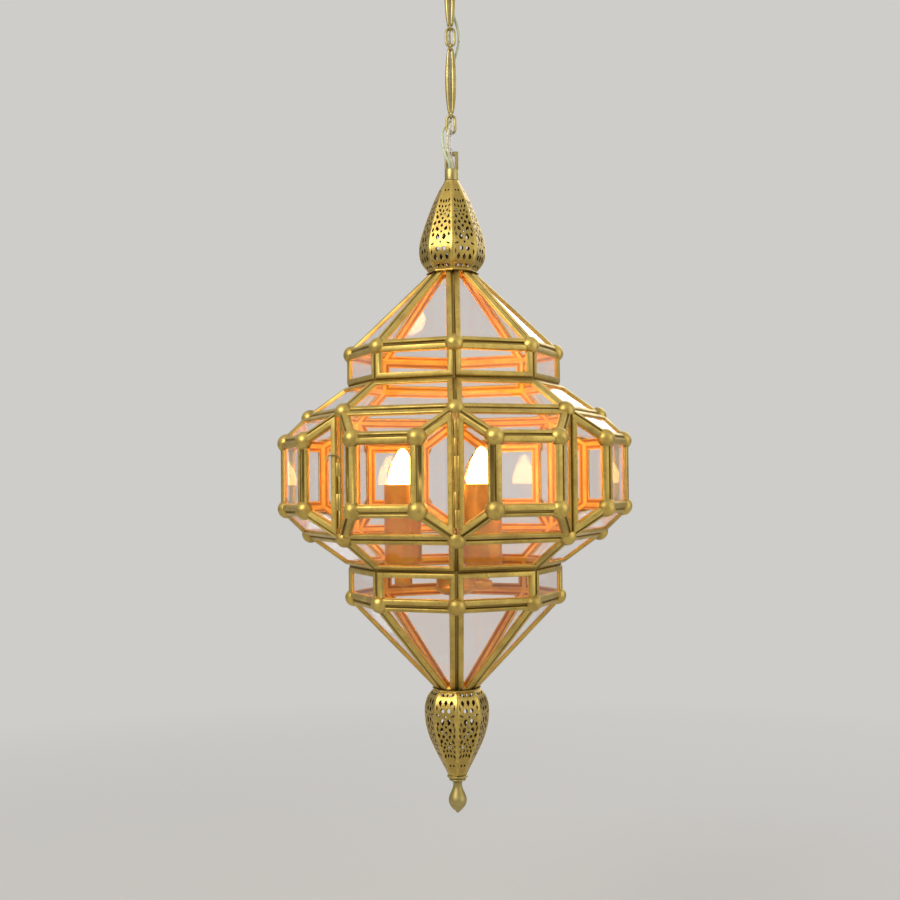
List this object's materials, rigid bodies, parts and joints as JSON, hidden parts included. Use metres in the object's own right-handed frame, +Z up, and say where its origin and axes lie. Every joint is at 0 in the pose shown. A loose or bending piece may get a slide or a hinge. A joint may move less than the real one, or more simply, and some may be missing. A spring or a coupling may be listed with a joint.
{
  "type": "moroccan pendant lantern",
  "caption": "Faceted glass pendant lantern with beaded brass borders, bays round its waist, a hinged door, pierced caps and a link chain.",
  "frame": {"origin": "middle of the mounting strap's upper face, where it meets the ceiling", "axes": "+Z up, along the chain and the lantern's axis; -Y towards the viewer of the picture, at the front spine that carries the door's hinge"},
  "size_m": [0.387, 0.387, 1.0122],
  "materials": {
    "antique_brass": "dull antique, darker in the corners",
    "polished_brass": "satin",
    "steel": "plain bright wire and strip",
    "pane_glass": "clear, faintly violet",
    "bulb_glass": "lit warm white",
    "porcelain": "off-white ceramic look",
    "clear_sleeving": "clear sleeve over brown and blue cores",
    "pale_green_sleeving": "pale green-yellow"
  },
  "bodies": {
    "ceiling_fitting": {"mounting_strap": "steel", "ceiling_canopy": "antique_brass", "ceiling_hook": "antique_brass", "cord_grip": "antique_brass", "mains_flex": "clear_sleeving", "earth_wire": "pale_green_sleeving"},
    "top_ring": {"top_ring": "polished_brass"},
    "upper_long_link": {"upper_long_link": "polished_brass"},
    "middle_ring": {"middle_ring": "polished_brass"},
    "lower_long_link": {"lower_long_link": "polished_brass"},
    "low_ring": {"low_ring": "polished_brass"},
    "shackle_link": {"shackle_link": "steel"},
    "lantern": {"neck_collar": "polished_brass", "top_cap": "antique_brass", "bottom_cap": "antique_brass", "finial": "polished_brass", "centre_tube": "polished_brass", "upper_cone_frame": "antique_brass", "upper_band_frame": "antique_brass", "upper_slope_frame": "antique_brass", "lower_slope_frame": "antique_brass", "lower_band_frame": "antique_brass", "lower_cone_frame": "antique_brass", "upper_cone_glass": "pane_glass", "upper_band_glass": "pane_glass", "upper_slope_glass": "pane_glass", "lower_slope_glass": "pane_glass", "lower_band_glass": "pane_glass", "lower_cone_glass": "pane_glass", "bay_1_frame": "antique_brass", "bay_2_frame": "antique_brass", "bay_3_frame": "antique_brass", "bay_4_frame": "antique_brass", "bay_5_frame": "antique_brass", "bay_6_frame": "antique_brass", "bay_7_frame": "antique_brass", "bay_1_glass": "pane_glass", "bay_2_glass": "pane_glass", "bay_3_glass": "pane_glass", "bay_4_glass": "pane_glass", "bay_5_glass": "pane_glass", "bay_6_glass": "pane_glass", "bay_7_glass": "pane_glass", "hinge_pin": "polished_brass", "light_hub": "antique_brass", "front_candle_arm": "antique_brass", "front_candle_sleeve": "polished_brass", "front_lampholder": "porcelain", "front_bulb": "bulb_glass", "back_candle_arm": "antique_brass", "back_candle_sleeve": "polished_brass", "back_lampholder": "porcelain", "back_bulb": "bulb_glass", "left_candle_arm": "antique_brass", "left_candle_sleeve": "polished_brass", "left_lampholder": "porcelain", "left_bulb": "bulb_glass"},
    "door": {"door_frame": "antique_brass", "door_glass": "pane_glass"},
    "latch_pin": {"latch_pin": "polished_brass"}
  },
  "joints": [
    {"name": "top_ring_swing", "type": "hinge", "parent": "ceiling_fitting", "child": "top_ring", "pos_m": [0, 0, -0.05292], "axis": [0, 1, 0], "range_deg": [-20, 20], "deforming": ["mains_flex", "earth_wire"]},
    {"name": "upper_link_swing", "type": "hinge", "parent": "top_ring", "child": "upper_long_link", "pos_m": [0, 0, -0.06948], "axis": [1, 0, 0], "range_deg": [-20, 20]},
    {"name": "middle_ring_swing", "type": "hinge", "parent": "upper_long_link", "child": "middle_ring", "pos_m": [0, 0, -0.15061], "axis": [0, 1, 0], "range_deg": [-20, 20]},
    {"name": "lower_link_swing", "type": "hinge", "parent": "middle_ring", "child": "lower_long_link", "pos_m": [0, 0, -0.16718], "axis": [1, 0, 0], "range_deg": [-20, 20]},
    {"name": "low_ring_swing", "type": "hinge", "parent": "lower_long_link", "child": "low_ring", "pos_m": [0, 0, -0.24831], "axis": [0, 1, 0], "range_deg": [-20, 20]},
    {"name": "shackle_swing", "type": "hinge", "parent": "low_ring", "child": "shackle_link", "pos_m": [0, 0, -0.26488], "axis": [1, 0, 0], "range_deg": [-20, 20]},
    {"name": "lantern_swing", "type": "hinge", "parent": "shackle_link", "child": "lantern", "pos_m": [0, 0, -0.29251], "axis": [0, 1, 0], "range_deg": [-20, 20]},
    {"name": "door_hinge", "type": "hinge", "parent": "lantern", "child": "door", "pos_m": [0, -0.164, -0.64332], "axis": [0, 0, 1], "range_deg": [0, 95]},
    {"name": "latch_pin_lift", "type": "slide", "parent": "lantern", "child": "latch_pin", "axis": [0, 0, 1], "range_m": [0, 0.03]}
  ]
}
